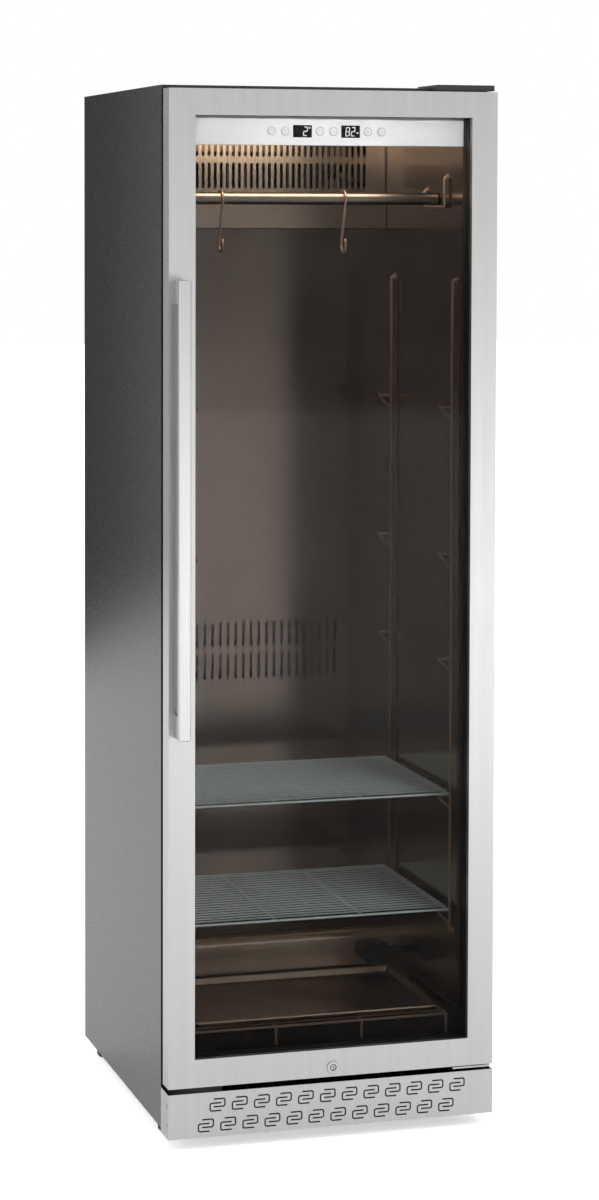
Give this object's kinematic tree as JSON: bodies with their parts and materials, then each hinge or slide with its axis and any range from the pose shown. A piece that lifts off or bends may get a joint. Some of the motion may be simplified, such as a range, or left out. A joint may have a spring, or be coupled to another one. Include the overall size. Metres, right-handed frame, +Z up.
{
  "type": "dry aging cabinet",
  "caption": "Tall insulated cabinet with a framed glass door, bar handle, hanging rail with hooks, wire shelves, drip tray and a slotted kick plate.",
  "frame": {"origin": "on the floor under the middle of the cabinet's bounding box", "axes": "+Z up, -Y out of the door, +X to the right of someone who faces the door"},
  "size_m": [0.595, 0.7068, 1.8495],
  "materials": {
    "painted_steel": "satin",
    "brushed_steel": "brushed, vertical grain",
    "liner_steel": "bright rolled",
    "zinc_steel": "zinc plated",
    "polished_steel": "polished wire",
    "aluminium": "satin",
    "black_plastic": "matte",
    "panel_plastic": "satin",
    "display": "gloss",
    "black_enamel": "gloss",
    "rubber": "matte",
    "foam": "rigid foam",
    "light_cover": "opal",
    "glass": "clear"
  },
  "bodies": {
    "cabinet": {"outer_casing": "painted_steel", "back_panel": "zinc_steel", "cord_gland": "black_plastic", "insulation_foam": "foam", "inner_liner": "liner_steel", "front_frame": "black_plastic", "base_plate": "zinc_steel", "kick_plate": "brushed_steel", "compressor": "black_enamel", "condenser": "aluminium", "condenser_fan_motor": "zinc_steel", "evaporator_coil": "aluminium", "evaporator_fan_motor": "zinc_steel", "evaporator_cover": "liner_steel", "rear_duct_panel": "liner_steel", "light_bar": "light_cover", "control_panel": "panel_plastic", "display_temperature": "display", "display_humidity": "display", "rail_bracket_left": "polished_steel", "rail_bracket_right": "polished_steel", "drain_outlet": "black_plastic", "top_hinge_bracket": "black_plastic", "top_hinge_pin": "polished_steel", "bottom_hinge_bracket": "zinc_steel", "lock_keeper": "zinc_steel", "support_front_left": "polished_steel", "support_front_right": "polished_steel", "support_rear_left": "polished_steel", "support_rear_right": "polished_steel"},
    "door": {"door_frame": "brushed_steel", "door_inner_frame": "black_plastic", "outer_glass": "glass", "glass_spacer": "black_plastic", "inner_glass": "glass", "door_gasket": "rubber", "handle_bar": "brushed_steel", "handle_post_top": "aluminium", "handle_post_bottom": "aluminium", "lock_barrel": "polished_steel"},
    "lock_core": {"lock_core": "polished_steel"},
    "hanging_rail": {"hanging_rail": "polished_steel"},
    "hook_left": {"hook_left": "polished_steel"},
    "hook_right": {"hook_right": "polished_steel"},
    "shelf_upper": {"shelf_upper": "polished_steel"},
    "shelf_lower": {"shelf_lower": "polished_steel"},
    "tray_rack": {"tray_rack": "polished_steel"},
    "tray": {"tray": "polished_steel"},
    "condenser_fan": {"condenser_fan": "black_plastic"},
    "evaporator_fan": {"evaporator_fan": "black_plastic"},
    "foot_front_left": {"foot_front_left": "black_plastic"},
    "foot_front_right": {"foot_front_right": "black_plastic"},
    "foot_rear_left": {"foot_rear_left": "black_plastic"},
    "foot_rear_right": {"foot_rear_right": "black_plastic"},
    "button_1": {"button_1": "panel_plastic"},
    "button_2": {"button_2": "panel_plastic"},
    "button_3": {"button_3": "panel_plastic"},
    "button_4": {"button_4": "panel_plastic"},
    "button_5": {"button_5": "panel_plastic"},
    "button_6": {"button_6": "panel_plastic"}
  },
  "joints": [
    {"name": "door_hinge", "type": "hinge", "parent": "cabinet", "child": "door", "pos_m": [0.2875, -0.2914, 0.1105], "axis": [0, 0, 1], "range_deg": [0, 115]},
    {"name": "lock_turn", "type": "hinge", "parent": "door", "child": "lock_core", "pos_m": [0, -0.3114, 0.127], "axis": [0, 1, 0], "range_deg": [0, 90]},
    {"name": "rail_lift", "type": "slide", "parent": "cabinet", "child": "hanging_rail", "axis": [0, 0, 1], "range_m": [0, 0.03]},
    {"name": "hook_left_swing", "type": "hinge", "parent": "hanging_rail", "child": "hook_left", "pos_m": [-0.1525, -0.1129, 1.6503], "axis": [1, 0, 0], "range_deg": [-30, 30]},
    {"name": "hook_right_swing", "type": "hinge", "parent": "hanging_rail", "child": "hook_right", "pos_m": [0.0764, -0.1129, 1.6503], "axis": [1, 0, 0], "range_deg": [-30, 30]},
    {"name": "shelf_upper_slide", "type": "slide", "parent": "cabinet", "child": "shelf_upper", "axis": [0, -1, 0], "range_m": [0, 0.035]},
    {"name": "shelf_lower_slide", "type": "slide", "parent": "cabinet", "child": "shelf_lower", "axis": [0, -1, 0], "range_m": [0, 0.035]},
    {"name": "tray_rack_slide", "type": "slide", "parent": "cabinet", "child": "tray_rack", "axis": [0, -1, 0], "range_m": [0, 0.018]},
    {"name": "tray_slide", "type": "slide", "parent": "tray_rack", "child": "tray", "axis": [0, -1, 0], "range_m": [0, 0.02]},
    {"name": "condenser_fan_spin", "type": "hinge", "parent": "cabinet", "child": "condenser_fan", "pos_m": [-0.02, -0.171, 0.0638], "axis": [0, 1, 0], "continuous": true},
    {"name": "evaporator_fan_spin", "type": "hinge", "parent": "cabinet", "child": "evaporator_fan", "pos_m": [0.185, 0.2317, 1.68], "axis": [0, 1, 0], "continuous": true},
    {"name": "foot_front_left_screw", "type": "hinge", "parent": "cabinet", "child": "foot_front_left", "pos_m": [-0.2645, -0.183, 0], "axis": [0, 0, 1], "continuous": true},
    {"name": "foot_front_right_screw", "type": "hinge", "parent": "cabinet", "child": "foot_front_right", "pos_m": [0.2645, -0.183, 0], "axis": [0, 0, 1], "continuous": true},
    {"name": "foot_rear_left_screw", "type": "hinge", "parent": "cabinet", "child": "foot_rear_left", "pos_m": [-0.2645, 0.306, 0], "axis": [0, 0, 1], "continuous": true},
    {"name": "foot_rear_right_screw", "type": "hinge", "parent": "cabinet", "child": "foot_rear_right", "pos_m": [0.2645, 0.306, 0], "axis": [0, 0, 1], "continuous": true},
    {"name": "button_1_press", "type": "slide", "parent": "cabinet", "child": "button_1", "axis": [0, 1, 0], "range_m": [0, 0.001], "stiffness_N_per_m": 300, "springref_m": -0.0005},
    {"name": "button_2_press", "type": "slide", "parent": "cabinet", "child": "button_2", "axis": [0, 1, 0], "range_m": [0, 0.001], "stiffness_N_per_m": 300, "springref_m": -0.0005},
    {"name": "button_3_press", "type": "slide", "parent": "cabinet", "child": "button_3", "axis": [0, 1, 0], "range_m": [0, 0.001], "stiffness_N_per_m": 300, "springref_m": -0.0005},
    {"name": "button_4_press", "type": "slide", "parent": "cabinet", "child": "button_4", "axis": [0, 1, 0], "range_m": [0, 0.001], "stiffness_N_per_m": 300, "springref_m": -0.0005},
    {"name": "button_5_press", "type": "slide", "parent": "cabinet", "child": "button_5", "axis": [0, 1, 0], "range_m": [0, 0.001], "stiffness_N_per_m": 300, "springref_m": -0.0005},
    {"name": "button_6_press", "type": "slide", "parent": "cabinet", "child": "button_6", "axis": [0, 1, 0], "range_m": [0, 0.001], "stiffness_N_per_m": 300, "springref_m": -0.0005}
  ]
}
